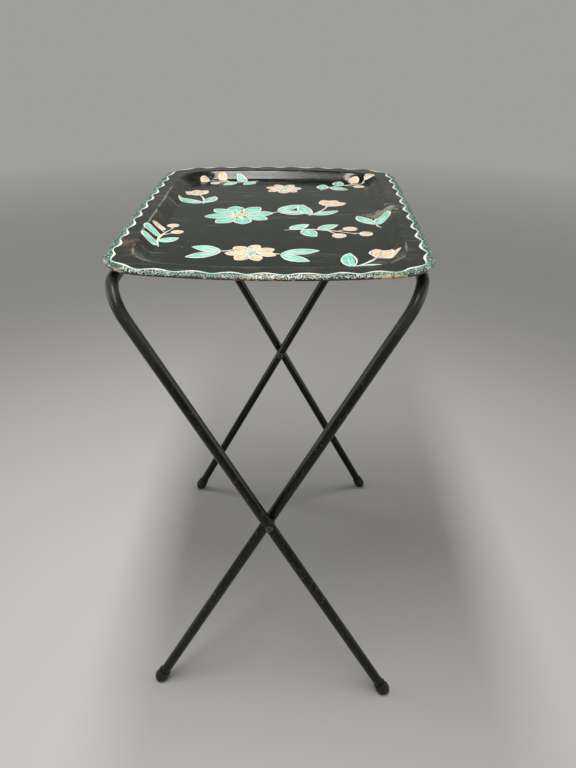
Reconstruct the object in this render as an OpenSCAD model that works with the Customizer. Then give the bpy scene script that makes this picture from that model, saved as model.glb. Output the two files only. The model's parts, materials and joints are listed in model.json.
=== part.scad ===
// Folding tray table: a dished sheet-metal tray on two crossed frames of bent tube.
// The origin is on the floor under the middle of the tray. X runs across the crossed legs,
// Y runs along the top bars and Z points up. The outer frame leans to -X at its top.

/* [Stance] */
// Distance from each long edge of the tray in to the centre line of its top bar
bar_inset = 14.6; // [12:0.1:30]
// Height of the crossing pivots above the floor
cross_z = 317.5; // [290:0.5:340]
// Height of the centre line of both top bars
bar_z = 631; // [600:1:660]
// Half the distance between the two legs of the outer frame, on their centre lines
outer_half_y = 244.3; // [225:0.1:246]

/* [Leg tube] */
// Outside diameter of the tube
tube_d = 14; // [12:0.5:16]
// Wall of the tube
tube_wall = 1.2; // [0.9:0.1:2]
// Bend radius of the top corners of a frame, on the centre line
bend_r = 38; // [25:1:60]
// Depth of the flats pressed into the tube at the pivots
flat_depth = 0.6; // [0.3:0.1:1]
// Length of those flats along the leg
flat_len = 15; // [13:1:24]

/* [Pivot rivets] */
// Diameter of the rivet shank
rivet_d = 5; // [3:0.5:6]
// Diameter of the domed head
rivet_head_d = 9.6; // [8:0.2:12]
// Height of the domed head
rivet_head_h = 2.6; // [1.5:0.1:4]
// Diameter of the peened tail
rivet_tail_d = 8; // [7.5:0.5:10]
// Height of the peened tail
rivet_tail_h = 1.5; // [1:0.1:3]
// Diameter of the spacer washer between the tubes
spacer_d = 13; // [10:0.5:16]
// Thickness of the spacer washer
spacer_t = 1.6; // [0.8:0.1:3]
// Diameter of the washer under the rivet tail
burr_d = 11; // [10:0.5:14]
// Thickness of the washer under the rivet tail
burr_t = 1.2; // [0.6:0.1:2]

/* [Feet] */
// Diameter of the rubber foot at its bulge
foot_d = 19; // [18:0.5:24]
// Length of the foot above the middle of its round end
foot_rise = 13.5; // [11:0.5:20]
// Diameter of the collar at the top of the foot
foot_collar_d = 17.2; // [17:0.1:19]
// Depth of the worn flat on the sole
foot_flat = 0.5; // [0.3:0.1:1]
// Height of the foot's inside floor above the middle of its round end
foot_floor = 1; // [-1:0.5:4]
// Height of the shoulder between bulge and collar, above the middle of the round end
shoulder_h = 3.4; // [2:0.1:5]
// Height of the fine groove round the collar, above the middle of the round end
groove_h = 9.2; // [7:0.1:10]
// Depth of that groove
groove_depth = 0.35; // [0.2:0.05:0.6]
// Width of that groove
groove_w = 1; // [0.6:0.1:1.6]
// Bevel round the top edge of the foot
foot_bevel = 0.6; // [0.3:0.1:1]
// Thickness of the steel disc inside the foot
disc_t = 1.2; // [0.8:0.1:2]

/* [Tray] */
// Length of the tray along the top bars, at its middle
tray_l = 508; // [500:1:540]
// Width of the tray across the top bars, at its middle
tray_w = 364; // [356:1:390]
// Radius of the tray's corners
tray_corner_r = 58; // [54:1:80]
// Radius of the corners at the top of the well, where the flange turns down
well_corner_r = 60; // [40:1:80]
// Radius of the outward bow of the long sides
side_bow_r = 9000; // [5000:100:20000]
// Radius of the outward bow of the short ends
end_bow_r = 780; // [600:10:2000]
// Thickness of the tray's sheet metal
sheet_t = 0.9; // [0.6:0.1:1.5]
// Depth of the well below the flange
well_depth = 12; // [8:0.5:18]
// Width of the sloping wall of the well, seen from above
wall_run = 20; // [14:1:22]
// Width of the flat flange between the lip and the well
flange_w = 18; // [14:1:24]
// Width of the rounded lip, seen from above
lip_w = 8; // [6:0.5:10]
// Drop of the lip below the flange, to the bottom of its bead
lip_drop = 5.6; // [5:0.1:9]
// Diameter of the rolled bead along the edge
bead_d = 4.2; // [3.6:0.1:5]
// Angle through which the bead is rolled
bead_turn = 210; // [180:5:240]

/* [Tray clips] */
// Width of a clip along the bar
clip_w = 22; // [14:1:30]
// Thickness of the clip's spring steel
clip_t = 1.5; // [1:0.1:2]
// Distance of each clip from the middle of the table
clip_y = 150; // [80:1:180]
// Reach of a clip's strap from the bar's centre line to its welded end
clip_reach = 58; // [50:1:80]
// Angle at which the closed loop round the hinge bar ends
loop_end = 345; // [300:1:350]
// Angle at which the open hook beside the other bar ends
hook_end = 208; // [190:1:215]
// Length of the out-turned tip of a hook
hook_tip = 3.5; // [2:0.5:6]
// Angle from the bar's centre line to that tip, seen at the hook's end
hook_tip_turn = 60; // [40:5:80]

/* [Fits] */
// Radial clearance of turning and pushed-on fits
fit = 0.06; // [0.02:0.01:0.1]
// Side clearance between faces that turn on each other
side_gap = 0.1; // [0.05:0.05:0.3]

/* [Hidden] */

// Sides of a round form, and a small overlap that keeps cuts clean
round_fn = 48;
eps = 1;

// Leg frames, worked out along the leaning plane of a frame
tube_r = tube_d / 2;
seat = tube_r - flat_depth;
pitch_y = 2 * seat + spacer_t + side_gap;
inner_half_y = outer_half_y - pitch_y;
half_l = tray_l / 2;
half_w = tray_w / 2;
bar_x = half_w - bar_inset;
lean = atan2(bar_x, bar_z - cross_z);
foot_z = foot_d / 2 - foot_flat;
leg_up = (bar_z - cross_z) / cos(lean);
leg_down = (cross_z - foot_z) / cos(lean);
tube_end = foot_floor + disc_t;

// Tray heights, stacked up from the top of the bars
tray_under = bar_z + tube_r + fit + clip_t;
floor_top = tray_under + sheet_t;
rim_top = floor_top + well_depth;
well_inset = lip_w + flange_w;

// Steps of the tray's outline and section, and of the fan that trims a clip
side_steps = 3;
corner_steps = 10;
end_steps = 5;
wall_steps = 7;
lip_steps = 5;
bead_steps = 6;
under_steps = 3;
fan_step = 30;

// Angle through which the underside of the sheet follows the lip
under_turn = 45;

steel_black = [0.045, 0.042, 0.04];
enamel_black = [0.06, 0.062, 0.058];
bare_steel = [0.5, 0.5, 0.49];
rubber_black = [0.03, 0.03, 0.03];

// Solid along the centre line of one flat U frame, with its pivot at the origin
module frame_path(half_y, r) {
    straight = half_y - bend_r;
    bend_start = leg_up - bend_r;
    for (side = [-1, 1]) {
        translate([0, side * half_y, bend_start])
            mirror([0, 0, 1])
                cylinder(r = r, h = bend_start + leg_down - tube_end, $fn = round_fn);
        mirror([0, side < 0 ? 1 : 0, 0])
            translate([0, straight, bend_start])
                rotate([90, 0, 90])
                    rotate_extrude(angle = 90, $fn = 2 * round_fn)
                        translate([bend_r, 0])
                            circle(r = r, $fn = round_fn);
    }
    translate([0, -straight, leg_up])
        rotate([-90, 0, 0])
            cylinder(r = r, h = 2 * straight, $fn = round_fn);
}

// Pressed flats on both faces of one leg at its pivot
module pivot_flats(leg_y) {
    for (face = [-1, 1])
        translate([0, leg_y + face * (seat + eps), 0])
            cube([tube_d + eps, 2 * eps, flat_len], center = true);
}

module leg_frame(half_y) {
    difference() {
        frame_path(half_y, tube_r);
        frame_path(half_y, tube_r - tube_wall);
        for (side = [-1, 1]) {
            pivot_flats(side * half_y);
            translate([0, side * half_y, 0])
                rotate([90, 0, 0])
                    cylinder(d = rivet_d + 2 * fit, h = 2 * tube_d, center = true, $fn = round_fn);
        }
    }
}

module outer_leg_frame() {
    color(steel_black)
        translate([0, 0, cross_z])
            rotate([0, -lean, 0])
                leg_frame(outer_half_y);
}

module inner_leg_frame() {
    color(steel_black)
        translate([0, 0, cross_z])
            rotate([0, lean, 0])
                leg_frame(inner_half_y);
}

// Half section of a low dome, flat side on the X axis
module dome_2d(d, h) {
    ball_r = (d * d / 4 + h * h) / (2 * h);
    intersection() {
        translate([0, h - ball_r])
            circle(r = ball_r, $fn = 4 * round_fn);
        square([d, h + eps]);
    }
}

// Places a part on a pivot's axis, with Z pointing inwards from the head's seat
module at_pivot(side) {
    translate([0, side * (outer_half_y + seat), cross_z])
        rotate([90 * side, 0, 0])
            children();
}

module pivot_rivet(side) {
    spacer_end = 2 * seat + spacer_t;
    grip = spacer_end + side_gap + 2 * seat + side_gap + burr_t;
    color(steel_black)
        at_pivot(side)
            rotate_extrude($fn = round_fn)
                union() {
                    square([rivet_d / 2, grip]);
                    mirror([0, 1]) dome_2d(rivet_head_d, rivet_head_h);
                    translate([0, grip]) dome_2d(rivet_tail_d, rivet_tail_h);
                }
}

// Flat washer on a pivot, its near face at the given depth from the head's seat
module pivot_ring(side, depth, d, t) {
    color(bare_steel)
        at_pivot(side)
            translate([0, 0, depth])
                difference() {
                    cylinder(d = d, h = t, $fn = round_fn);
                    translate([0, 0, -eps])
                        cylinder(d = rivet_d + 2 * fit, h = t + 2 * eps, $fn = round_fn);
                }
}

module pivot_spacer(side) {
    pivot_ring(side, 2 * seat, spacer_d, spacer_t);
}

module pivot_washer(side) {
    inner_tube_end = 4 * seat + spacer_t + side_gap;
    pivot_ring(side, inner_tube_end + side_gap, burr_d, burr_t);
}

// Places a part at the lower end of a leg, with Z along the leg.
// The turn is negative for the outer frame and positive for the inner one.
module at_foot(turn, leg_y) {
    translate([0, leg_y, cross_z])
        rotate([0, turn, 0])
            translate([0, 0, -leg_down])
                children();
}

// Half section of the rubber foot: round end, soft shoulder and collar
module foot_2d() {
    foot_r = foot_d / 2;
    collar_r = foot_collar_d / 2;
    groove_start = groove_h - groove_w / 2;
    intersection() {
        union() {
            circle(r = foot_r, $fn = 2 * round_fn);
            polygon([
                [0, 0], [foot_r, 0], [foot_r, shoulder_h],
                [collar_r, groove_start], [collar_r - groove_depth, groove_h],
                [collar_r, groove_start + groove_w],
                [collar_r, foot_rise - foot_bevel], [collar_r - foot_bevel, foot_rise],
                [0, foot_rise]
            ]);
        }
        translate([0, -foot_d])
            square([foot_d, foot_d + foot_rise]);
    }
}

// The worn flat is cut by a block whose top is the table's floor
module rubber_foot(turn, leg_y) {
    foot_x = -leg_down * sin(turn);
    color(rubber_black)
        difference() {
            at_foot(turn, leg_y)
                difference() {
                    rotate_extrude($fn = round_fn) foot_2d();
                    translate([0, 0, foot_floor])
                        cylinder(r = tube_r + fit, h = foot_rise, $fn = round_fn);
                }
            translate([foot_x - foot_d, leg_y - foot_d, -foot_d])
                cube([2 * foot_d, 2 * foot_d, foot_d]);
        }
}

module foot_disc(turn, leg_y) {
    color(bare_steel)
        at_foot(turn, leg_y)
            translate([0, 0, foot_floor])
                cylinder(r = tube_r - fit, h = disc_t, $fn = round_fn);
}

// Fan that keeps the part of a ring from the top, anticlockwise, to the end angle
module fan_2d(end_angle) {
    far = 2 * tube_d;
    steps = ceil((end_angle - 90) / fan_step);
    polygon(concat([[0, 0]], [
        for (i = [0 : steps])
            let (a = 90 + (end_angle - 90) * i / steps)
                far * [cos(a), sin(a)]
    ]));
}

// Section of a clip with the bar's centre at the origin and its strap towards +X
module clip_2d(end_angle) {
    inner_r = tube_r + fit;
    outer_r = inner_r + clip_t;
    intersection() {
        difference() {
            circle(r = outer_r, $fn = 2 * round_fn);
            circle(r = inner_r, $fn = 2 * round_fn);
        }
        fan_2d(end_angle);
    }
    translate([0, inner_r])
        square([clip_reach, clip_t]);
}

// Out-turned tip that guides the bar into an open hook
module hook_tip_2d(end_angle) {
    middle_r = tube_r + fit + clip_t / 2;
    translate(middle_r * [cos(end_angle), sin(end_angle)])
        rotate(end_angle + hook_tip_turn)
            union() {
                translate([0, -clip_t / 2]) square([hook_tip, clip_t]);
                circle(d = clip_t, $fn = round_fn);
                translate([hook_tip, 0]) circle(d = clip_t, $fn = round_fn);
            }
}

module at_clip(side) {
    translate([0, side * clip_y + clip_w / 2, bar_z])
        rotate([90, 0, 0])
            linear_extrude(clip_w)
                children();
}

module hinge_clip(side) {
    color(bare_steel)
        at_clip(side)
            translate([-bar_x, 0])
                clip_2d(loop_end);
}

module hook_clip(side) {
    color(bare_steel)
        at_clip(side)
            mirror([1, 0])
                translate([-bar_x, 0]) {
                    clip_2d(hook_end);
                    hook_tip_2d(hook_end);
                }
}

// Outline of the tray in its first quarter. Each station is [centre, radius, angle], so the
// outline at any inset is the same stations with that inset taken off their radius.
side_c = [half_w - side_bow_r, 0];
end_c = [0, half_l - end_bow_r];

// Centre of a corner arc, which touches the side arc and the end arc from inside
function corner_centre(corner_r) =
    let (
        r1 = side_bow_r - corner_r,
        r2 = end_bow_r - corner_r,
        gap = end_c - side_c,
        d = norm(gap),
        along = (r1 * r1 - r2 * r2 + d * d) / (2 * d),
        up = sqrt(r1 * r1 - along * along),
        e = gap / d
    )
    side_c + along * e + up * [-e[1], e[0]];

function arc_stations(c, r, a0, a1, steps, first) =
    [for (i = [first : steps]) [c, r, a0 + (a1 - a0) * i / steps]];

function quarter_stations(corner_r) =
    let (
        corner_c = corner_centre(corner_r),
        side_end_a = atan2(corner_c[1] - side_c[1], corner_c[0] - side_c[0]),
        end_start_a = atan2(corner_c[1] - end_c[1], corner_c[0] - end_c[0])
    )
    concat(
        arc_stations(side_c, side_bow_r, 0, side_end_a, side_steps, 0),
        arc_stations(corner_c, corner_r, side_end_a, end_start_a, corner_steps, 1),
        arc_stations(end_c, end_bow_r, end_start_a, 90, end_steps, 1)
    );

// The rim and the well have corners of their own, and the flat flange lies between them
rim_stations = quarter_stations(tray_corner_r);
well_stations = quarter_stations(well_corner_r + well_inset);

function station_at(s, inset) = s[0] + (s[1] - inset) * [cos(s[2]), sin(s[2])];

// Whole closed ring of the outline at one point of the section, anticlockwise from above
function tray_ring(stations, point) =
    let (
        q = [for (s = stations) station_at(s, point[0])],
        z = rim_top + point[1],
        last = len(q) - 1
    )
    concat(
        [for (i = [0 : last]) [q[i][0], q[i][1], z]],
        [for (i = [last - 1 : -1 : 0]) [-q[i][0], q[i][1], z]],
        [for (i = [1 : last]) [-q[i][0], -q[i][1], z]],
        [for (i = [last - 1 : -1 : 1]) [q[i][0], -q[i][1], z]]
    );

// Section of the sheet as points [inset, height below the flange]: the well's wall from the
// floor up, the lip, the bead, and back under the sheet
wall_top = [
    for (i = [0 : wall_steps])
        let (t = 1 - i / wall_steps)
            [well_inset + wall_run * t, -well_depth * (1 - cos(180 * t)) / 2]
];
bead_r = bead_d / 2;
lip_rise = lip_drop - bead_r;
lip_top = [
    for (i = [0 : lip_steps])
        let (t = 90 * i / lip_steps)
            [lip_w - lip_w * sin(t), -lip_rise * (1 - cos(t))]
];
bead_curve = [
    for (i = [1 : bead_steps])
        let (a = bead_turn * i / bead_steps)
            [bead_r - bead_r * cos(a), -lip_rise - bead_r * sin(a)]
];
lip_under = [
    for (i = [under_steps : -1 : 0])
        let (t = under_turn * i / under_steps)
            [lip_w - (lip_w - sheet_t) * sin(t), -lip_rise + (lip_rise - sheet_t) * cos(t)]
];
// The sheet's slant on the wall shifts its underside outwards by a share of its thickness
wall_under = [
    for (i = [wall_steps : -1 : 0])
        let (
            t = 1 - i / wall_steps,
            slope = atan(well_depth * PI / (2 * wall_run) * sin(180 * t))
        )
            wall_top[i] - sheet_t * [sin(slope), cos(slope)]
];

module tray() {
    rings = concat(
        [for (p = wall_top) tray_ring(well_stations, p)],
        [for (p = concat(lip_top, bead_curve, lip_under)) tray_ring(rim_stations, p)],
        [for (p = wall_under) tray_ring(well_stations, p)]
    );
    n = len(rings[0]);
    m = len(rings);
    points = [for (ring = rings) for (p = ring) p];
    sides = [
        for (j = [0 : m - 2]) for (i = [0 : n - 1])
            let (k = (i + 1) % n)
                [j * n + i, j * n + k, (j + 1) * n + k, (j + 1) * n + i]
    ];
    floor_face = [for (i = [n - 1 : -1 : 0]) i];
    under_face = [for (i = [0 : n - 1]) (m - 1) * n + i];
    color(enamel_black)
        polyhedron(points, concat([floor_face, under_face], sides), convexity = 6);
}

tray();
hinge_clip(-1);  // hinge_clip_front
hinge_clip(1);  // hinge_clip_rear
hook_clip(-1);  // hook_clip_front
hook_clip(1);  // hook_clip_rear
outer_leg_frame();
inner_leg_frame();
pivot_rivet(-1);  // pivot_rivet_front
pivot_rivet(1);  // pivot_rivet_rear
pivot_spacer(-1);  // pivot_spacer_front
pivot_spacer(1);  // pivot_spacer_rear
pivot_washer(-1);  // pivot_washer_front
pivot_washer(1);  // pivot_washer_rear
rubber_foot(-lean, -outer_half_y);  // outer_foot_front
rubber_foot(-lean, outer_half_y);  // outer_foot_rear
rubber_foot(lean, -inner_half_y);  // inner_foot_front
rubber_foot(lean, inner_half_y);  // inner_foot_rear
foot_disc(-lean, -outer_half_y);  // outer_foot_disc_front
foot_disc(-lean, outer_half_y);  // outer_foot_disc_rear
foot_disc(lean, -inner_half_y);  // inner_foot_disc_front
foot_disc(lean, inner_half_y);  // inner_foot_disc_rear
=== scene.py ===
import json
import math
import random

import bpy
from mathutils import Matrix, Vector, noise


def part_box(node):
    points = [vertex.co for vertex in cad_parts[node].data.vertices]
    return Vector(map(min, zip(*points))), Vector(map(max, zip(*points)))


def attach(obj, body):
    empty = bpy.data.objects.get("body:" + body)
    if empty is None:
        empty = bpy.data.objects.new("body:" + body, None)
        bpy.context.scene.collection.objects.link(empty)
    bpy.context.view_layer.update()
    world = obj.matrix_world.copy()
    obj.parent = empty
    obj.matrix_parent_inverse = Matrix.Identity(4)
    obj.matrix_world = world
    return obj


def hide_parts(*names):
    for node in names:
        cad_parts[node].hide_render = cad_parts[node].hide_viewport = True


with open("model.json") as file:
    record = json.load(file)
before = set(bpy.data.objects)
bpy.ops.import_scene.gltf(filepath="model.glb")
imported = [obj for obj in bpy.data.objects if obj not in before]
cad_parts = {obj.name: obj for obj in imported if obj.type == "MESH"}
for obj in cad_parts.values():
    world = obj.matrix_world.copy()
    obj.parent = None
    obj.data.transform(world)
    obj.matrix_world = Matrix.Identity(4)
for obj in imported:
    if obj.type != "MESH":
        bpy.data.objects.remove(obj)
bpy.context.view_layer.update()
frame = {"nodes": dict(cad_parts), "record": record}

# Lengths in this script are in millimetres, and become metres where a mesh is made.
MM = 0.001

# Driving sizes of the tray, the same as the CAD tray's
TRAY_W = 364.0
TRAY_L = 508.0
CORNER_R = 58.0
WELL_CORNER_R = 60.0
SIDE_BOW_R = 9000.0
END_BOW_R = 780.0
SHEET_T = 0.9
WELL_DEPTH = 12.0
WALL_RUN = 20.0
FLANGE_W = 18.0
LIP_W = 8.0
LIP_DROP = 5.6
BEAD_R = 2.1
BEAD_TURN = math.radians(210)
UNDER_TURN = math.radians(45)
RIM_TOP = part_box("tray")[1].z / MM

# Most that the worn sheet lies below its nominal height, halved, and the waves that it is made
# of: the length of each along x and y, its slice of the noise and its share of the height
RIPPLE = 0.17
RIPPLE_WAVES = ((95.0, 110.0, 3.7, 1.0), (55.0, 62.0, 9.1, 0.4))

LIP_RISE = LIP_DROP - BEAD_R
WELL_INSET = LIP_W + FLANGE_W

# Painted scallops round the rim, and the way in that one unit of the UV map stands for
SCALLOPS = 40
UV_REACH = 10.0

# Steps of the tray's mesh
SIDE_STEPS = 50
CORNER_STEPS = 36
END_STEPS = 40
WALL_STEPS = 20
FLANGE_STEPS = 6
LIP_STEPS = 10
BEAD_STEPS = 12
UNDER_STEPS = 5
FLOOR_RINGS = 26
UNDER_RINGS = 4


def new_mesh(name, points, faces, uvs=None, smooth=True):
    """Object from points in millimetres. uvs holds one (u, v) for each face corner."""
    mesh = bpy.data.meshes.new(name)
    mesh.from_pydata([Vector(p) * MM for p in points], [], faces)
    if uvs:
        layer = mesh.uv_layers.new(name="rim")
        for loop, uv in zip(layer.data, uvs):
            loop.uv = uv
    mesh.polygons.foreach_set("use_smooth", [smooth] * len(mesh.polygons))
    mesh.update()
    obj = bpy.data.objects.new(name, mesh)
    bpy.context.scene.collection.objects.link(obj)
    return obj


# Outline of the tray: one quarter is the arcs of the long side, the corner and the short end

SIDE_C = Vector((TRAY_W / 2 - SIDE_BOW_R, 0))
END_C = Vector((0, TRAY_L / 2 - END_BOW_R))

# The rim keeps its own corners to this inset, about as far in as the painted border goes
RIM_KEEPS = 14.0


def arc_stations(centre, radius, start, end, steps, first):
    return [(centre, radius, start + (end - start) * i / steps) for i in range(first, steps + 1)]


def angle_from(centre, p):
    return math.atan2(p.y - centre.y, p.x - centre.x)


class Outline:
    """Family of rings with one corner radius at the tray's edge and the same centres inside."""

    def __init__(self, corner_r):
        side_r = SIDE_BOW_R - corner_r
        end_r = END_BOW_R - corner_r
        gap = END_C - SIDE_C
        along = (side_r ** 2 - end_r ** 2 + gap.length_squared) / (2 * gap.length)
        off = math.sqrt(side_r ** 2 - along ** 2)
        unit = gap.normalized()
        self.corner_r = corner_r
        self.corner_c = SIDE_C + along * unit + off * Vector((-unit.y, unit.x))
        self.side_end = angle_from(SIDE_C, self.corner_c)
        self.end_start = angle_from(END_C, self.corner_c)

    def quarter(self, inset):
        stations = (
            arc_stations(SIDE_C, SIDE_BOW_R, 0, self.side_end, SIDE_STEPS, 0)
            + arc_stations(self.corner_c, self.corner_r, self.side_end, self.end_start, CORNER_STEPS, 1)
            + arc_stations(END_C, END_BOW_R, self.end_start, math.pi / 2, END_STEPS, 1)
        )
        return [c + (r - inset) * Vector((math.cos(a), math.sin(a))) for c, r, a in stations]

    def inset_at(self, x, y):
        """Distance of a point on the tray from this family's outermost ring."""
        p = Vector((abs(x), abs(y)))
        if self.side_end < angle_from(self.corner_c, p) < self.end_start:
            return self.corner_r - (p - self.corner_c).length
        return min(SIDE_BOW_R - (p - SIDE_C).length, END_BOW_R - (p - END_C).length)


RIM = Outline(CORNER_R)
WELL = Outline(WELL_CORNER_R + WELL_INSET)


def outline(inset):
    """Closed list of (x, y) round the tray at one inset from its edge, anticlockwise.

    The rings of the flange change from the rim's corners to those of the well."""
    share = min(1.0, max(0.0, (inset - RIM_KEEPS) / (WELL_INSET - RIM_KEEPS)))
    q = [rim.lerp(well, share) for rim, well in zip(RIM.quarter(inset), WELL.quarter(inset))]
    out = [(p.x, p.y) for p in q]
    out += [(-p.x, p.y) for p in reversed(q[:-1])]
    out += [(-p.x, -p.y) for p in q[1:]]
    out += [(p.x, -p.y) for p in reversed(q[1:-1])]
    return out


# Section of the tray, with heights given from the top of the rim

def wall_drop(share):
    """Height of the well's sloping wall, at a share of its run from top to bottom."""
    return -WELL_DEPTH * (1 - math.cos(math.pi * share)) / 2


def sheet_ripple(x, y):
    """Slight unevenness of the thin sheet, always below its nominal height."""
    height = sum(share * noise.noise(Vector((x / long_x, y / long_y, cut)))
                 for long_x, long_y, cut, share in RIPPLE_WAVES)
    return RIPPLE * (max(-1.0, min(1.0, height)) - 1)


def ripple_share(inset):
    return min(1.0, max(0.0, (inset - LIP_W) / (RIM_KEEPS - LIP_W)))


def tray_top_z(x, y):
    """Height of the tray's upper surface above the floor."""
    inset = RIM.inset_at(x, y)
    if inset < LIP_W:
        s = 1 - max(inset, 0.0) / LIP_W
        drop = -LIP_RISE * (1 - math.sqrt(1 - s * s))
    else:
        down = (WELL.inset_at(x, y) - WELL_INSET) / WALL_RUN
        drop = wall_drop(min(1.0, max(0.0, down)))
    return RIM_TOP + drop + ripple_share(inset) * sheet_ripple(x, y)


def section_rows():
    """Rows (inset, height) from the floor's edge out along the top, round the bead and back
    under the sheet, and the index of the outermost row."""
    shares = [1 - i / WALL_STEPS for i in range(WALL_STEPS + 1)]
    wall = [(WELL_INSET + WALL_RUN * t, wall_drop(t)) for t in shares]
    flange = [(WELL_INSET - FLANGE_W * i / FLANGE_STEPS, 0.0) for i in range(1, FLANGE_STEPS)]

    # The lip is a quarter of an ellipse out to the outermost row, and the bead an arc under it
    lip = []
    for i in range(LIP_STEPS + 1):
        t = math.pi / 2 * i / LIP_STEPS
        lip.append((LIP_W * (1 - math.sin(t)), -LIP_RISE * (1 - math.cos(t))))
    bead = []
    for i in range(1, BEAD_STEPS + 1):
        a = BEAD_TURN * i / BEAD_STEPS
        bead.append((BEAD_R * (1 - math.cos(a)), -LIP_RISE - BEAD_R * math.sin(a)))

    # The underside of the lip and of the wall lies one thickness of the sheet further in
    under = []
    for i in range(UNDER_STEPS, -1, -1):
        t = UNDER_TURN * i / UNDER_STEPS
        under.append((LIP_W - (LIP_W - SHEET_T) * math.sin(t),
                      -LIP_RISE + (LIP_RISE - SHEET_T) * math.cos(t)))
    steepest = WELL_DEPTH * math.pi / (2 * WALL_RUN)
    back = []
    for t, (d, z) in reversed(list(zip(shares, wall))):
        slope = math.atan(steepest * math.sin(math.pi * t))
        back.append((d - SHEET_T * math.sin(slope), z - SHEET_T * math.cos(slope)))
    return wall + flange + lip + bead + under + back, len(wall + flange + lip) - 1


def running_lengths(points):
    """Length along a line of points, from its first point to each of them."""
    out = [0.0]
    for a, b in zip(points, points[1:]):
        out.append(out[-1] + math.dist(a, b))
    return out


def build_tray():
    """The pressed tray as one closed sheet, with its wall, flange, lip and rolled bead.

    Its UV map holds scallops round the rim, and the way in from the outermost edge along the
    sheet, which is negative under the bead."""
    rows, outermost = section_rows()
    base = outline(LIP_W)
    n = len(base)
    lengths = running_lengths(base + base[:1])
    us = [SCALLOPS * s / lengths[-1] for s in lengths]
    reach = running_lengths(rows)
    vs = [(reach[outermost] - r) / UV_REACH for r in reach]

    points, faces, uvs = [], [], []
    for j, (d, z) in enumerate(rows):
        share = ripple_share(d) if j < outermost else 0.0
        for x, y in outline(d):
            points.append((x, y, RIM_TOP + z + share * sheet_ripple(x, y)))
    for j in range(len(rows) - 1):
        for i in range(n):
            k = (i + 1) % n
            faces.append((j * n + i, (j + 1) * n + i, (j + 1) * n + k, j * n + k))
            uvs += [(us[i], vs[j]), (us[i], vs[j + 1]), (us[i + 1], vs[j + 1]), (us[i + 1], vs[j])]

    def add_floor(first, rings, z, top):
        """Flat floor inside one row: smaller and smaller rings, and a fan in the middle."""
        v = vs[0] if top else vs[-1]
        edge = [points[first + i][:2] for i in range(n)]
        previous = first
        for s in range(1, rings):
            start = len(points)
            for x, y in edge:
                x, y = x * (1 - s / rings), y * (1 - s / rings)
                points.append((x, y, z + (sheet_ripple(x, y) if top else 0.0)))
            for i in range(n):
                k = (i + 1) % n
                quad = (previous + i, previous + k, start + k, start + i)
                faces.append(quad if top else quad[::-1])
                uvs.extend([(us[i], v)] * 4)
            previous = start
        points.append((0, 0, z + (sheet_ripple(0, 0) if top else 0.0)))
        for i in range(n):
            tri = (previous + i, previous + (i + 1) % n, len(points) - 1)
            faces.append(tri if top else tri[::-1])
            uvs.extend([(us[i], v)] * 3)

    add_floor(0, FLOOR_RINGS, RIM_TOP - WELL_DEPTH, True)
    add_floor((len(rows) - 1) * n, UNDER_RINGS, RIM_TOP - WELL_DEPTH - SHEET_T, False)
    return new_mesh("tray_pressing", points, faces, uvs)


# Painted decoration: thin closed patches of paint that follow the tray's surface

PAINT_T = 0.07
OUTLINE_W = 2.6
FINE_LINE_W = 0.6 * OUTLINE_W
LEAST_HALF_W = 0.06

# Least and greatest gap between a blade and the widest part of its outline
OUTLINE_GAP = (0.2, 2.4)

# Length of the steps along a blade, short enough to follow the sloping wall
BLADE_STEP = 1.3
random.seed(11)


class Paint:
    """Collects patches of one colour into one mesh. A higher layer lies over a lower one."""

    def __init__(self, name, layer):
        self.name = name
        self.lift = PAINT_T * (1 + layer)
        self.points = []
        self.faces = []

    def patch(self, rows):
        """Adds one closed patch from rows of (x, y) points, all rows of one length."""
        m, n = len(rows), len(rows[0])
        top = len(self.points)
        low = top + m * n
        for level in (self.lift, -PAINT_T):
            for row in rows:
                self.points += [(x, y, tray_top_z(x, y) + level) for x, y in row]
        for j in range(m - 1):
            for i in range(n - 1):
                a = j * n + i
                self.faces.append((top + a, top + a + n, top + a + n + 1, top + a + 1))
                self.faces.append((low + a, low + a + 1, low + a + n + 1, low + a + n))
        rim = [(j * n, (j + 1) * n) for j in range(m - 1)]
        rim += [((m - 1) * n + i, (m - 1) * n + i + 1) for i in range(n - 1)]
        rim += [((j + 1) * n + n - 1, j * n + n - 1) for j in reversed(range(m - 1))]
        rim += [(i + 1, i) for i in reversed(range(n - 1))]
        for a, b in rim:
            self.faces.append((top + a, low + a, low + b, top + b))

    def build(self):
        return new_mesh(self.name, self.points, self.faces)


turquoise = Paint("painted_turquoise", 0)
peach = Paint("painted_peach", 0.5)
lines = Paint("painted_lines", 1.0)


def bezier(p0, p1, p2, steps):
    """Points along a curve that leaves p0 towards p1 and ends at p2."""
    out = []
    for i in range(steps + 1):
        t = i / steps
        a, b, c = (1 - t) ** 2, 2 * t * (1 - t), t * t
        out.append((a * p0[0] + b * p1[0] + c * p2[0], a * p0[1] + b * p1[1] + c * p2[1]))
    return out


def placed(points, at, turn, size=1.0):
    """Points of a motif, turned by degrees, scaled and moved to their place on the tray."""
    c, s = math.cos(math.radians(turn)), math.sin(math.radians(turn))
    return [(at[0] + size * (c * x - s * y), at[1] + size * (s * x + c * y)) for x, y in points]


def side_steps(path):
    """Unit vector to the left of the path at each of its points."""
    out = []
    for i in range(len(path)):
        x0, y0 = path[max(0, i - 1)]
        x1, y1 = path[min(len(path) - 1, i + 1)]
        d = math.hypot(x1 - x0, y1 - y0)
        out.append(((y0 - y1) / d, (x1 - x0) / d))
    return out


def beside(path, away):
    """The path moved to its left. away gives the distance for a share of its length."""
    last = len(path) - 1
    return [(x + nx * away(i / last), y + ny * away(i / last))
            for i, ((x, y), (nx, ny)) in enumerate(zip(path, side_steps(path)))]


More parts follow.
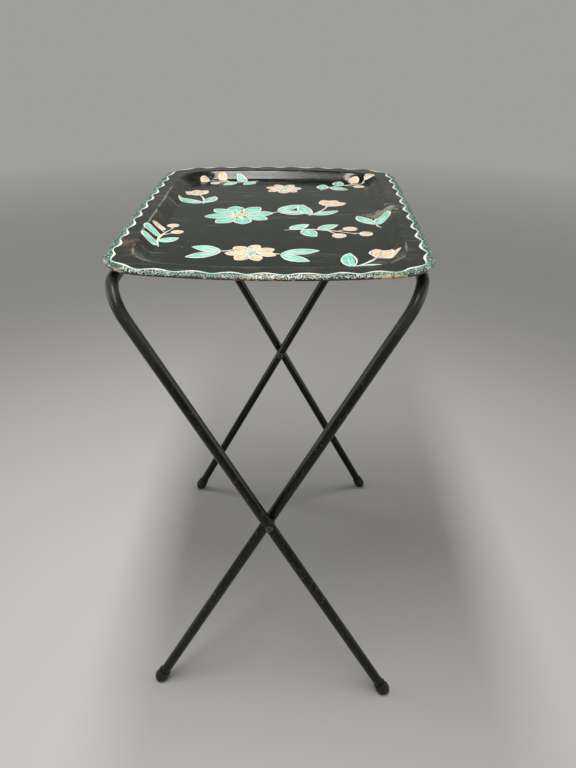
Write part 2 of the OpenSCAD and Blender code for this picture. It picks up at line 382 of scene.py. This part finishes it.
def ribbon(paint, path, half_width, across):
    """Patch along a path. half_width is a function of the share of its length."""
    rows = []
    for i, ((x, y), (nx, ny)) in enumerate(zip(path, side_steps(path))):
        w = max(LEAST_HALF_W, half_width(i / (len(path) - 1)))
        rows.append([(x + nx * w * s / across, y + ny * w * s / across)
                     for s in range(-across, across + 1)])
    paint.patch(rows)


def stroke(path, width=OUTLINE_W):
    """Pale brush line that starts and ends thin, with a slightly uneven width."""
    phase = random.uniform(0, math.tau)

    def half_width(t):
        swell = math.sqrt(math.sin(math.pi * (0.04 + 0.92 * t)))
        return width / 2 * swell * (0.88 + 0.2 * math.sin(9 * t + phase))

    ribbon(lines, path, half_width, 1)


def blade_width(t, fullest):
    """Half width of a leaf or petal along its length, 1 where it is fullest."""
    if t <= 0 or t >= 1:
        return 0.0
    return math.sin(math.pi * t ** (math.log(0.5) / math.log(fullest))) ** 0.8


def blade(paint, at, turn, length, width, bend=0.0, fullest=0.42, ribs=1):
    """Leaf or petal: a filled blade, a loosely fitting outline and pale ribs inside."""
    steps = math.ceil(length / BLADE_STEP)
    spine = placed(bezier((0, 0), (length / 2, length * bend), (length, 0), steps), at, turn)
    ribbon(paint, spine, lambda t: width / 2 * blade_width(t, fullest), 5)
    for side in (-1, 1):
        gap = random.uniform(*OUTLINE_GAP)
        stroke(beside(spine, lambda t: side * (width / 2 * blade_width(t, fullest)
                                               + gap * math.sin(math.pi * t))))
    for r in range(ribs):
        off = (r - (ribs - 1) / 2) * width * 0.26
        rib = beside(spine, lambda t: off * math.sin(math.pi * t))
        stroke(rib[steps // 8:round(steps * 0.7)], FINE_LINE_W)


def berry(paint, at, r):
    """Filled round berry, with a loose ring and a short curved line inside it."""
    turn = random.uniform(0, 360)
    across = placed([(r * (i / 6 - 1), 0) for i in range(13)], at, turn)
    ribbon(paint, across, lambda t: r * math.sqrt(max(0.0, 1 - (2 * t - 1) ** 2)), 3)
    ring = [(1.16 * r * math.cos(a / 20 * math.tau), 1.04 * r * math.sin(a / 20 * math.tau))
            for a in range(21)]
    stroke(placed(ring, at, turn))
    glint = bezier((-r * 0.5, r * 0.1), (-r * 0.3, r * 0.7), (r * 0.3, r * 0.5), 6)
    stroke(placed(glint, at, turn), FINE_LINE_W)


def daisy(petal_paint, heart_paint, at, turn, r, petals):
    """Ring of petals round a heart, with six small dots where the petals start."""
    for i in range(petals):
        a = turn + 360 / petals * i + random.uniform(-4, 4)
        foot = placed([(r * 0.18, 0)], at, a)[0]
        blade(petal_paint, foot, a, r * random.uniform(0.78, 0.88), r * 0.4, 0.05, 0.6)
    berry(heart_paint, at, r * 0.19)
    for i in range(6):
        dot = placed([(r * 0.3, 0)], at, turn + 60 * i + 30)[0]
        berry(lines, dot, r * 0.03)


def tulip(at, turn, size):
    """Cup of three petals on a stem with two leaves at its foot."""
    stroke(placed(bezier((0, 0), (5, -26), (-4, -52), 16), at, turn, size), OUTLINE_W * 1.2)
    foot = placed([(-3, -46)], at, turn, size)[0]
    blade(turquoise, foot, turn + 128, 46 * size, 14 * size, 0.14, 0.45)
    blade(turquoise, foot, turn + 52, 38 * size, 12 * size, -0.14, 0.45)
    cup = placed([(0, -4)], at, turn, size)[0]
    blade(peach, cup, turn + 124, 30 * size, 14 * size, -0.16, 0.55)
    blade(peach, cup, turn + 56, 30 * size, 14 * size, 0.16, 0.55)
    blade(peach, cup, turn + 90, 32 * size, 18 * size, 0.0, 0.5, 2)


def berry_sprig(at, turn, size):
    """Curved stem with three leaves and three berries on short stalks."""
    stem = bezier((-38, -8), (-4, 14), (40, 2), 20)
    stroke(placed(stem, at, turn, size), OUTLINE_W * 1.1)
    for i, lean in ((2, 62), (6, -50), (10, 58)):
        blade(turquoise, placed([stem[i]], at, turn, size)[0], turn + lean, 28 * size, 13 * size,
              0.12 if lean > 0 else -0.12)
    for i, x, y in ((12, 24, -9), (15, 30, 19), (19, 50, 7)):
        joint = bezier(stem[i], ((stem[i][0] + x) / 2, (stem[i][1] + y) / 2 + 2), (x, y), 6)
        stroke(placed(joint, at, turn, size), OUTLINE_W * 0.8)
        berry(peach, placed([(x, y)], at, turn, size)[0], 6.4 * size)


def leaf_pair(at, turn, size):
    """Two leaves that spread from one short stem."""
    for lean, long in ((24, 46), (-28, 40)):
        blade(turquoise, at, turn + lean, long * size, 15 * size, 0.12 if lean > 0 else -0.12, 0.5, 2)
    stroke(placed(bezier((0, 0), (-8, 1), (-15, -4), 6), at, turn, size))


def paint_motifs():
    """Generic sprigs of daisies, tulips, berries and leaves, scattered over the tray."""
    daisy(turquoise, peach, (-48, 8), 12, 45, 8)
    leaf_pair((4, 24), 28, 1.0)
    tulip((72, 58), -24, 1.1)
    berry_sprig((58, -62), -16, 1.15)
    daisy(peach, turquoise, (-22, -146), 30, 29, 7)
    leaf_pair((12, -150), -8, 1.0)
    leaf_pair((-58, -142), 186, 0.95)
    tulip((-116, 112), 18, 1.0)
    daisy(peach, turquoise, (8, 152), 8, 27, 7)
    berry_sprig((96, 168), 24, 1.05)
    berry_sprig((-70, 198), 172, 0.95)
    leaf_pair((132, -30), 96, 0.95)
    tulip((122, -156), -38, 1.0)
    berry_sprig((-132, -92), 78, 0.95)
    return [turquoise.build(), peach.build(), lines.build()]


# Materials

def rgb(r, g, b):
    """Linear colour from the 0 to 255 values that a screen shows."""
    linear = [((v / 255 + 0.055) / 1.055) ** 2.4 if v > 10 else v / 255 / 12.92 for v in (r, g, b)]
    return (*linear, 1.0)


class Shader:
    """Makes and links the nodes of one material. Noise scales are in cycles per metre."""

    def __init__(self, name):
        self.mat = bpy.data.materials.new(name)
        self.mat.use_nodes = True
        self.nodes = self.mat.node_tree.nodes
        self.links = self.mat.node_tree.links
        self.bsdf = self.nodes["Principled BSDF"]
        self.coord = self.nodes.new("ShaderNodeTexCoord").outputs["Object"]

    def put(self, socket, value):
        if isinstance(value, bpy.types.NodeSocket):
            self.links.new(value, socket)
        else:
            socket.default_value = value

    def math(self, op, a, b=0.0):
        node = self.nodes.new("ShaderNodeMath")
        node.operation = op
        self.put(node.inputs[0], a)
        self.put(node.inputs[1], b)
        return node.outputs[0]

    def plus(self, a, b):
        return self.math("ADD", a, b)

    def minus(self, a, b):
        return self.math("SUBTRACT", a, b)

    def size_of(self, a):
        return self.math("ABSOLUTE", a)

    def times(self, first, *rest):
        for value in rest:
            first = self.math("MULTIPLY", first, value)
        return first

    def most(self, first, *rest):
        for value in rest:
            first = self.math("MAXIMUM", first, value)
        return first

    def steps(self, value, low, high):
        """0 at low and before it, 1 at high and past it, and a straight slope between. Low may be
        the greater of the two."""
        node = self.nodes.new("ShaderNodeMapRange")
        self.put(node.inputs["Value"], value)
        self.put(node.inputs["From Min"], low)
        self.put(node.inputs["From Max"], high)
        return node.outputs[0]

    def split(self, vector):
        """The x, y and z of a vector."""
        node = self.nodes.new("ShaderNodeSeparateXYZ")
        self.put(node.inputs[0], vector)
        return node.outputs

    def scaled(self, factors):
        node = self.nodes.new("ShaderNodeMapping")
        self.put(node.inputs["Vector"], self.coord)
        node.inputs["Scale"].default_value = factors
        return node.outputs[0]

    def noise(self, scale, detail=3.0, rough=0.5, stretch=None):
        node = self.nodes.new("ShaderNodeTexNoise")
        self.put(node.inputs["Vector"], self.scaled(stretch) if stretch else self.coord)
        node.inputs["Scale"].default_value = scale
        node.inputs["Detail"].default_value = detail
        node.inputs["Roughness"].default_value = rough
        return node.outputs[0]

    def blotches(self, low, high, scale, detail=3.0, rough=0.5, stretch=None):
        """Noise cut into blotches: 0 where it is under low and 1 where it is over high."""
        return self.steps(self.noise(scale, detail, rough, stretch), low, high)

    def wear(self, low, high, tone, where, more):
        """Blotches of a noise, tone, that grow where a mask, where, raises it by up to more."""
        return self.steps(self.plus(tone, self.times(where, more)), low, high)

    def near(self, place, full, none):
        """1 within one distance of a place and 0 beyond another, all in millimetres."""
        node = self.nodes.new("ShaderNodeVectorMath")
        node.operation = "DISTANCE"
        self.put(node.inputs[0], self.coord)
        node.inputs[1].default_value = Vector(place) * MM
        return self.steps(node.outputs["Value"], none * MM, full * MM)

    def mix(self, factor, a, b, kind="RGBA"):
        node = self.nodes.new("ShaderNodeMix")
        node.data_type = kind
        factor_in, a_in, b_in = [i for i in node.inputs if i.enabled]
        self.put(factor_in, factor)
        self.put(a_in, a)
        self.put(b_in, b)
        return [o for o in node.outputs if o.enabled][0]

    def blend(self, factor, a, b):
        return self.mix(factor, a, b, "FLOAT")

    def bump(self, height, depth):
        """Normal for a height from 0 to 1 that stands for a depth in millimetres."""
        node = self.nodes.new("ShaderNodeBump")
        node.inputs["Distance"].default_value = depth * MM
        self.put(node.inputs["Height"], height)
        return node.outputs[0]

    def finish(self, color, roughness, normal, metallic=0.0, specular=0.5):
        self.put(self.bsdf.inputs["Base Color"], color)
        self.put(self.bsdf.inputs["Roughness"], roughness)
        self.put(self.bsdf.inputs["Metallic"], metallic)
        self.bsdf.inputs["Specular IOR Level"].default_value = specular
        self.put(self.bsdf.inputs["Normal"], normal)
        return self.mat


# Painted border: its width along the sides and at the ends, and the distances from the middle
# of the tray between which the one changes to the other
BORDER_W = (9.4, 7.6)
BORDER_ENDS_FROM = 205.0
BORDER_ENDS_TO = 240.0

# Wavy line along the border: its least and greatest swing inwards, its width where it lies
# outwards, how much wider it is where it swings in, and half the softness of its edges
LINE_SWING = (3.6, 6.6)
LINE_W = 1.7
LINE_SWELL = 1.3
LINE_BLUR = 0.15

# Painted highlight: the stipple turns whiter between these two places, near the end that faces the
# camera, for the glint of light along that end
NEAR_END_HIGHLIGHT_FROM = -210.0
NEAR_END_HIGHLIGHT_TO = -250.0

# Way in to the pale line along the shoulder of the well, partly rubbed wear and partly painted
# highlight, and how widely it strays
SHOULDER_ARC_LINE = 28.4
SHOULDER_ARC_STRAY = 7.0

# Limits of the stains on the sloping wall and of the wear on the bead. Each is the way in
# where it has faded out and the way in where it is full, and is negative under the bead.
STAINED_FROM = (14.0, 24.0)
STAINED_TO = (52.0, 40.0)
HANDLED_FROM = (-7.0, -5.0)
HANDLED_TO = (1.4, 0.0)
CHIPPED_FROM = (-8.0, -6.0)
CHIPPED_TO = (4.0, 0.6)

# Worn places of the tray, and places of the pale shoulder arcs that are partly rubbed wear and partly
# painted highlight, with the distances from each where the mark is full and where it ends
RUBBED_WALL = ((143, 8, 646), 10, 42)
SHOULDER_ARC_RIGHT_CORNER = ((152, -178, 652), 25, 60)
SHOULDER_ARC_LEFT_CORNER = ((-148, -192, 652), 20, 55)
SHOULDER_ARC_LEFT_SIDE = ((-150, -10, 650), 90, 190)
RUSTED_FLANGE = ((-166, -150, 651), 8, 34)
CHIPPED_LEFT_CORNER = ((-168, -222, 649), 18, 46)
CHIPPED_END = ((-5, -254, 649), 20, 70)
CHIPPED_RIGHT_CORNER = ((130, -246, 649), 10, 40)

# Heights between which the legs' bends get painted light, a paler grey for the light that falls on
# them, and turn dull
BENDS_FROM = 510.0
BENDS_TO = 600.0

# Heights at which the scuffs on the feet have faded out, and at which they are full
SCUFFED_FROM = 6.0
SCUFFED_TO = 1.0


def rim_coordinates(s):
    """Scallops along the rim, and the way in from the outermost edge in millimetres."""
    uv = s.nodes.new("ShaderNodeUVMap")
    uv.uv_map = "rim"
    along, reach, _ = s.split(uv.outputs[0])
    return along, s.times(reach, UV_REACH)


def scuffed_black(s, smudge):
    """Black enamel, uneven in tone, and the masks of its smears and its scratches."""
    color = s.mix(s.steps(smudge, 0.35, 0.7), rgb(6, 16, 8), rgb(12, 25, 14))
    wiped = s.blotches(0.55, 0.72, 46, 6, 0.72, (0.3, 2.2, 1.0))
    smears = s.times(wiped, s.blotches(0.42, 0.62, 13, 2), 0.75)
    color = s.mix(smears, color, rgb(124, 126, 116))
    scratches = s.most(s.blotches(0.66, 0.72, 150, 8, 0.75, (0.12, 1.9, 1.0)),
                       s.blotches(0.68, 0.74, 170, 8, 0.75, (1.5, 0.16, 1.0)))
    color = s.mix(s.times(scratches, 0.4), color, rgb(112, 110, 98))
    specks = s.blotches(0.66, 0.71, 230, 4, 0.65, (0.6, 1.5, 1.0))
    flecks = s.times(specks, s.blotches(0.5, 0.62, 15, 2), 0.6)
    return s.mix(flecks, color, rgb(158, 160, 148)), smears, scratches


def rubbed_and_highlit_well(s, reach):
    """Mask of the rubbed patch on the right-hand wall and of pale arcs along the shoulder, which are
    partly rubbed wear and partly painted highlight.
    """
    patch = s.wear(0.7, 0.82, s.noise(95, 6, 0.65), s.near(*RUBBED_WALL), 0.34)
    stray = s.times(s.minus(s.noise(30, 2), 0.5), SHOULDER_ARC_STRAY)
    shoulder = s.steps(s.size_of(s.minus(s.plus(reach, stray), SHOULDER_ARC_LINE)), 2.0, 0.3)
    worn = s.most(s.near(*SHOULDER_ARC_RIGHT_CORNER), s.near(*SHOULDER_ARC_LEFT_CORNER),
                  s.near(*SHOULDER_ARC_LEFT_SIDE), 0.16)
    # The shoulder arcs are partly rubbed wear and partly painted highlight along the well's shoulder
    arcs = s.times(shoulder, s.wear(0.7, 0.84, s.noise(85, 5, 0.7), worn, 0.3))
    return s.most(patch, arcs)


def stained(s, color, reach, rubbed):
    """Colour with stains on the sloping wall, the rubbed places, a painted highlight on the shoulder
    arcs and a rusty spot by the border.
    """
    on_wall = s.times(s.steps(reach, *STAINED_FROM), s.steps(reach, *STAINED_TO))
    olive = s.times(on_wall, s.blotches(0.5, 0.68, 38, 5, 0.65), 0.5)
    color = s.mix(olive, color, rgb(84, 78, 56))
    brown = s.times(on_wall, s.blotches(0.68, 0.74, 75, 4, 0.6), 0.5)
    color = s.mix(brown, color, rgb(112, 74, 58))
    # Pale colour on the rubbed patch, and on the shoulder arcs, where it is partly wear and partly
    # painted highlight
    color = s.mix(s.times(rubbed, 0.62), color, rgb(166, 164, 144))
    rust = s.wear(0.72, 0.82, s.noise(110, 5, 0.65), s.near(*RUSTED_FLANGE), 0.3)
    return s.mix(s.times(rust, 0.45), color, rgb(134, 92, 82))


def painted_border(s, along, reach, y):
    """Masks of the wavy line and of the stippled band outside it, and how far in the line swings."""
    at_ends = s.steps(s.size_of(y), BORDER_ENDS_FROM * MM, BORDER_ENDS_TO * MM)
    wobble = s.times(s.minus(s.noise(14, 2), 0.5), 0.5)
    wave = s.steps(s.math("COSINE", s.times(s.plus(along, wobble), math.tau)), -1.0, 1.0)
    swing = s.times(wave, s.blend(s.noise(9, 1), *LINE_SWING))
    inner = s.plus(swing, s.blend(at_ends, *BORDER_W))
    outer = s.minus(inner, s.plus(s.times(s.math("POWER", wave, 1.5), LINE_SWELL), LINE_W))
    past_line = s.steps(s.minus(outer, reach), -LINE_BLUR, LINE_BLUR)
    line = s.minus(s.steps(s.minus(inner, reach), -LINE_BLUR, LINE_BLUR), past_line)
    ragged = s.steps(s.plus(reach, s.times(s.noise(120), 2.0)), 0.4, 1.2)
    return line, s.times(past_line, ragged), wave


def stippled_paint(s, y):
    """Small curling dabs of pale paint on dark teal, with a painted highlight that turns them whiter
    along the near end.
    """
    # Painted highlight: the pale dabs turn whiter towards the end nearest the camera
    whiter = s.times(s.steps(y, NEAR_END_HIGHLIGHT_FROM * MM, NEAR_END_HIGHLIGHT_TO * MM), s.blotches(0.3, 0.55, 30, 2))
    pale = s.mix(s.blotches(0.35, 0.65, 30, 2), rgb(112, 170, 154), rgb(176, 212, 196))
    pale = s.mix(whiter, pale, rgb(236, 242, 228))
    teal = s.mix(s.blotches(0.3, 0.7, 45), rgb(8, 20, 18), rgb(14, 38, 34))
    curls = s.size_of(s.minus(s.noise(430, 1, 0.4), 0.5))
    return s.mix(s.steps(curls, 0.056, 0.036), teal, pale)


def line_paint(s, wave):
    """White where the wavy line swings inwards, bluish where it lies outwards."""
    whiter = s.steps(s.plus(wave, s.times(s.noise(70, 2), 0.5)), 0.2, 0.75)
    return s.mix(whiter, rgb(150, 214, 198), rgb(246, 246, 232))


def worn_bead(s, color, reach):
    """Colour with the bead's brown lower edge and its chips, and the mask of the chips."""
    handled = s.times(s.steps(reach, *HANDLED_TO), s.steps(reach, *HANDLED_FROM))
    color = s.mix(s.times(handled, s.blotches(0.36, 0.56, 26), 0.75), color, rgb(92, 72, 54))
    on_bead = s.times(s.steps(reach, *CHIPPED_TO), s.steps(reach, *CHIPPED_FROM))
    worn = s.most(s.near(*CHIPPED_LEFT_CORNER), s.times(s.near(*CHIPPED_END), 0.7),
                  s.near(*CHIPPED_RIGHT_CORNER), 0.3)
    chips = s.times(s.wear(0.66, 0.69, s.noise(130, 5, 0.65), worn, 0.24), on_bead)
    primer_or_rust = s.mix(s.blotches(0.42, 0.6, 150), rgb(222, 208, 170), rgb(120, 74, 46))
    return s.mix(chips, color, primer_or_rust), chips


def tray_enamel():
    s = Shader("tray_enamel")
    along, reach = rim_coordinates(s)
    y = s.split(s.coord)[1]
    smudge = s.noise(9, 5, 0.6)
    color, smears, scratches = scuffed_black(s, smudge)
    # The rubbed mask holds the rubbed patch and the shoulder arcs, which are partly wear and partly
    # painted highlight
    rubbed = rubbed_and_highlit_well(s, reach)
    color = stained(s, color, reach, rubbed)
    line, band, wave = painted_border(s, along, reach, y)
    color = s.mix(band, color, stippled_paint(s, y))
    color = s.mix(line, color, line_paint(s, wave))
    color, chips = worn_bead(s, color, reach)

    roughness = s.blend(s.steps(smudge, 0.3, 0.7), 0.12, 0.19)
    for mask, rough in ((smears, 0.6), (rubbed, 0.5), (s.most(line, band), 0.36), (chips, 0.8)):
        roughness = s.blend(mask, roughness, rough)
    raised = s.plus(s.times(s.noise(420, 2), 0.25), s.times(line, 0.9))
    sunken = s.plus(s.times(chips, 1.2), s.times(scratches, 0.12))
    return s.finish(color, roughness, s.bump(s.minus(raised, sunken), 0.12), specular=0.29)


def brushed_paint(name, low, high, worn):
    """Brushed-on enamel: streaky tone, rubbed blotches and small pits down to the black."""
    s = Shader(name)
    brush = s.noise(120, 4, 0.6, (0.5, 1.4, 1.0))
    color = s.mix(s.steps(brush, 0.3, 0.7), low, high)
    color = s.mix(s.times(s.blotches(0.6, 0.72, 60), 0.4), color, worn)
    color = s.mix(s.times(s.blotches(0.67, 0.71, 300, 4, 0.7), 0.7), color, rgb(40, 44, 40))
    return s.finish(color, s.blend(brush, 0.36, 0.52), s.bump(s.noise(380), 0.08))


def leg_enamel():
    """Black enamel with brown rubs and chips, and painted light at the bends under the tray: a paler
    grey for the light that falls there, with a duller finish.
    """
    s = Shader("leg_enamel")
    color = s.mix(s.blotches(0.35, 0.7, 22, 4, 0.6), rgb(8, 8, 1), rgb(19, 17, 7))
    rubs = s.blotches(0.58, 0.7, 210, 6, 0.7, (1.0, 1.0, 0.35))
    color = s.mix(s.times(rubs, 0.5), color, rgb(92, 86, 66))
    at_bends = s.steps(s.split(s.coord)[2], BENDS_FROM * MM, BENDS_TO * MM)
    bends_painted_light_and_dull = s.times(at_bends, s.blotches(0.25, 0.55, 16), 0.65)
    # Painted light: a paler grey on the upper bends, for the light that falls on them
    color = s.mix(bends_painted_light_and_dull, color, rgb(74, 76, 66))
    chips = s.times(s.blotches(0.64, 0.67, 320, 4, 0.6), s.blotches(0.44, 0.6, 18, 2))
    primer_or_rust = s.mix(s.blotches(0.45, 0.6, 500, 2), rgb(150, 140, 122), rgb(98, 66, 46))
    color = s.mix(chips, color, primer_or_rust)

    roughness = s.blend(s.blotches(0.3, 0.7, 35, 4), 0.13, 0.24)
    roughness = s.blend(s.most(s.times(rubs, 0.4), chips), roughness, 0.8)
    roughness = s.blend(bends_painted_light_and_dull, roughness, 0.34)
    height = s.minus(s.times(s.noise(260, 2), 0.4), chips)
    return s.finish(color, roughness, s.bump(height, 0.1), specular=0.25)


def rivet_enamel():
    s = Shader("rivet_enamel")
    tone = s.noise(260, 4, 0.6)
    color = s.mix(s.steps(tone, 0.4, 0.62), rgb(34, 30, 27), rgb(84, 74, 64))
    return s.finish(color, s.blend(tone, 0.25, 0.5), s.bump(tone, 0.12))


def plated_steel(name, scale, dark, light):
    """Plated steel with a fine grain of the given scale, dull places and a little rust."""
    s = Shader(name)
    grain = s.noise(scale, 6, 0.7, (1.0, 0.15, 1.0))
    dull = s.blotches(0.4, 0.65, 70, 4, 0.6)
    color = s.mix(grain, dark, light)
    color = s.mix(s.times(dull, 0.5), color, rgb(112, 104, 92))
    rust = s.blotches(0.64, 0.7, 190, 5, 0.7)
    color = s.mix(s.times(rust, 0.7), color, rgb(110, 70, 44))
    return s.finish(color, s.blend(dull, 0.3, 0.5), s.bump(grain, 0.08),
                    metallic=s.blend(rust, 1.0, 0.2))


def foot_rubber():
    """Black rubber, dusty all over and scuffed pale where it meets the floor."""
    s = Shader("foot_rubber")
    dust = s.blotches(0.45, 0.75, 150, 5, 0.65)
    color = s.mix(s.times(dust, 0.5), rgb(22, 21, 14), rgb(72, 69, 54))
    scuffed = s.steps(s.split(s.coord)[2], SCUFFED_FROM * MM, SCUFFED_TO * MM)
    color = s.mix(s.times(scuffed, 0.55), color, rgb(104, 100, 82))
    return s.finish(color, s.blend(dust, 0.5, 0.8), s.bump(s.noise(700), 0.1), specular=0.4)


def set_material(obj, material):
    obj.data.materials.clear()
    obj.data.materials.append(material)


tray = build_tray()
set_material(tray, tray_enamel())
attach(tray, "tray_top")
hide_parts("tray")

# Darkest, lightest and rubbed tone of each paint
PAINT_TONES = {
    "painted_turquoise": (rgb(96, 196, 180), rgb(152, 232, 214), rgb(196, 236, 220)),
    "painted_peach": (rgb(222, 186, 148), rgb(244, 214, 176), rgb(236, 226, 204)),
    "painted_lines": (rgb(243, 238, 220), rgb(252, 248, 234), rgb(222, 228, 212)),
}
for motif in paint_motifs():
    set_material(motif, brushed_paint(motif.name, *PAINT_TONES[motif.name]))
    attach(motif, "tray_top")

finishes = {
    "leg_enamel": leg_enamel(),
    "rivet_enamel": rivet_enamel(),
    "clip_steel": plated_steel("clip_steel", 260, rgb(120, 120, 116), rgb(172, 172, 166)),
    "washer_steel": plated_steel("washer_steel", 500, rgb(78, 77, 72), rgb(122, 120, 112)),
    "foot_rubber": foot_rubber(),
}
for part in frame["record"]["subparts"]:
    if part["material_slot"] in finishes:
        set_material(frame["nodes"][part["node"]], finishes[part["material_slot"]])


# Stage: floor, world, lamps and camera

# The floor fades into the backdrop between two distances from the table
FLOOR_FADE_FROM = 1000.0
FLOOR_FADE_TO = 3600.0
FLOOR_SIDES = 96

# One long tube lamp over the table, left of its middle and parallel to its bars
TUBE_AT = (-110.0, -300.0, 1610.0)
TUBE_W = 180.0
TUBE_L = 1600.0
TUBE_POWER = 16.0

# Two low soft panels, one on each side, that the legs reflect as a pale stripe
PANEL_X = 1750.0
PANEL_Y = -250.0
PANEL_Z = 650.0
PANEL_L = 2100.0
PANEL_H = 800.0
PANEL_POWER = 2.4
PANEL_SPREAD = 80.0

FLOOR_TONES = (rgb(231, 230, 225), rgb(236, 235, 230))
AMBIENT = (0.11, 0.11, 0.107, 1.0)
BACKDROP = rgb(159, 159, 154)
LAMP_COLOR = (1.0, 0.99, 0.96)

# The photo's camera: its place, its turn in degrees and its lens on a 36 mm sensor
CAMERA_AT = (33.3, -900.5, 897.4)
CAMERA_DOWN = 29.68
CAMERA_YAW = -0.95
CAMERA_ROLL = -0.32
CAMERA_LENS = 32.0


def build_floor():
    points = []
    for i in range(FLOOR_SIDES):
        a = math.tau * i / FLOOR_SIDES
        points.append((FLOOR_FADE_TO * math.cos(a), FLOOR_FADE_TO * math.sin(a), 0.0))
    floor = new_mesh("studio_floor", points, [tuple(range(FLOOR_SIDES))], smooth=False)
    s = Shader("studio_floor")
    tone = s.mix(s.noise(1.5, 2), *FLOOR_TONES)
    s.finish(tone, 0.75, s.bump(s.noise(90, 2), 0.1), specular=0.15)
    s.put(s.bsdf.inputs["Alpha"], s.near((0, 0, 0), FLOOR_FADE_FROM, FLOOR_FADE_TO))
    set_material(floor, s.mat)


def build_world():
    """Dim, even light from all round, and a lighter grey where the camera or a reflection looks."""
    world = bpy.data.worlds.new("studio")
    world.use_nodes = True
    tree = world.node_tree
    light = tree.nodes["Background"]
    light.inputs["Color"].default_value = AMBIENT
    shown = tree.nodes.new("ShaderNodeBackground")
    shown.inputs["Color"].default_value = BACKDROP
    path = tree.nodes.new("ShaderNodeLightPath")
    seen = path.outputs["Is Camera Ray"]
    for kind in ("Is Glossy Ray", "Is Transmission Ray"):
        either = tree.nodes.new("ShaderNodeMath")
        either.operation = "MAXIMUM"
        tree.links.new(seen, either.inputs[0])
        tree.links.new(path.outputs[kind], either.inputs[1])
        seen = either.outputs[0]
    choose = tree.nodes.new("ShaderNodeMixShader")
    tree.links.new(seen, choose.inputs[0])
    tree.links.new(light.outputs[0], choose.inputs[1])
    tree.links.new(shown.outputs[0], choose.inputs[2])
    tree.links.new(choose.outputs[0], tree.nodes["World Output"].inputs["Surface"])
    bpy.context.scene.world = world


def build_lamp(name, size_x, size_y, power, at, turn=(0.0, 0.0, 0.0), spread=180.0):
    """Soft rectangular lamp that the camera doesn't see. It shines down unless it is turned."""
    lamp = bpy.data.lights.new(name, "AREA")
    lamp.shape = "RECTANGLE"
    lamp.size = size_x * MM
    lamp.size_y = size_y * MM
    lamp.energy = power
    lamp.spread = math.radians(spread)
    lamp.color = LAMP_COLOR
    obj = bpy.data.objects.new(name, lamp)
    obj.location = Vector(at) * MM
    obj.rotation_euler = [math.radians(a) for a in turn]
    obj.visible_camera = False
    bpy.context.scene.collection.objects.link(obj)


def build_camera():
    down_a = math.radians(CAMERA_DOWN)
    yaw = math.radians(CAMERA_YAW)
    roll = math.radians(CAMERA_ROLL)
    forward = Vector((math.sin(yaw) * math.cos(down_a), math.cos(yaw) * math.cos(down_a),
                      -math.sin(down_a)))
    level = Vector((math.cos(yaw), -math.sin(yaw), 0))
    down = forward.cross(level)
    right = math.cos(roll) * level + math.sin(roll) * down
    down = math.cos(roll) * down - math.sin(roll) * level
    data = bpy.data.cameras.new("photo_camera")
    data.lens = CAMERA_LENS
    camera = bpy.data.objects.new("photo_camera", data)
    turn = Matrix((right, -down, -forward)).transposed()
    camera.matrix_world = Matrix.Translation(Vector(CAMERA_AT) * MM) @ turn.to_4x4()
    bpy.context.scene.collection.objects.link(camera)
    bpy.context.scene.camera = camera


build_floor()
build_world()
build_lamp("tube_lamp", TUBE_W, TUBE_L, TUBE_POWER, TUBE_AT)
for side_name, side in (("left_panel", -1), ("right_panel", 1)):
    build_lamp(side_name, PANEL_H, PANEL_L, PANEL_POWER, (side * PANEL_X, PANEL_Y, PANEL_Z),
               (0, side * 90, 0), PANEL_SPREAD)
build_camera()
bpy.context.scene.view_settings.view_transform = "Standard"
